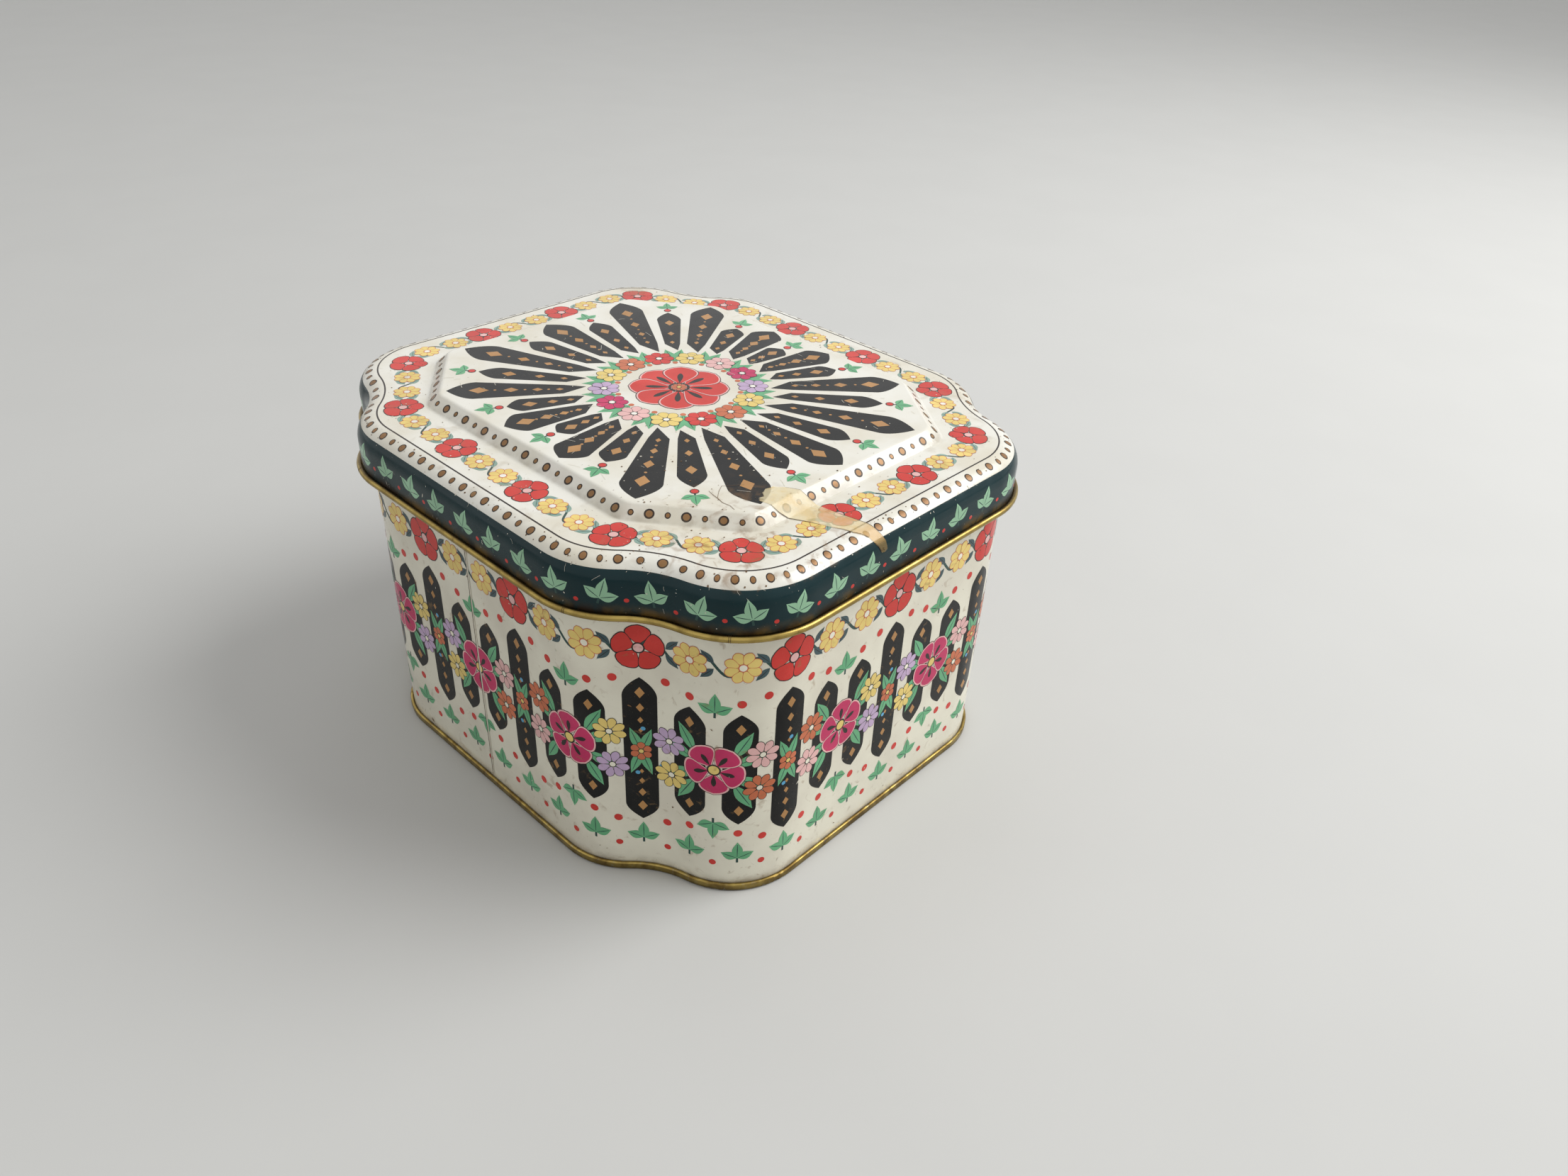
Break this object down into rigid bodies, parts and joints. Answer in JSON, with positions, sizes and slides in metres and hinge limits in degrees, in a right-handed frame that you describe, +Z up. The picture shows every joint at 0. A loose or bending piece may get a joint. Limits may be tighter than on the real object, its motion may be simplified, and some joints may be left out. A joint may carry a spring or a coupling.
{
  "type": "keepsake tin",
  "caption": "Rectangular tinplate keepsake tin with hollowed corners and a pull-off lid with a raised panel.",
  "frame": {"origin": "centre of the footprint, on the surface the tin stands on", "axes": "+Z up out of the lid, +Y along the longer side, front towards -Y, side seam on the -X face"},
  "size_m": [0.153, 0.173, 0.1015],
  "materials": {
    "lid_print": "cream and dark teal lithographed tinplate, gold-lacquered curl, worn gloss varnish",
    "body_print": "cream lithographed tinplate with a printed repeat, worn gloss varnish",
    "base_lacquer": "gold-lacquered tinplate, dulled and darkened on the rim",
    "aged_tape": "yellowed clear adhesive tape, slightly glossy"
  },
  "bodies": {
    "box": {"body_wall": "body_print", "base": "base_lacquer"},
    "lid": {"lid": "lid_print", "tape_strip": "aged_tape"}
  },
  "joints": [
    {"name": "lid_lift", "type": "slide", "parent": "box", "child": "lid", "axis": [0, 0, 1], "range_m": [0, 0.06]}
  ]
}
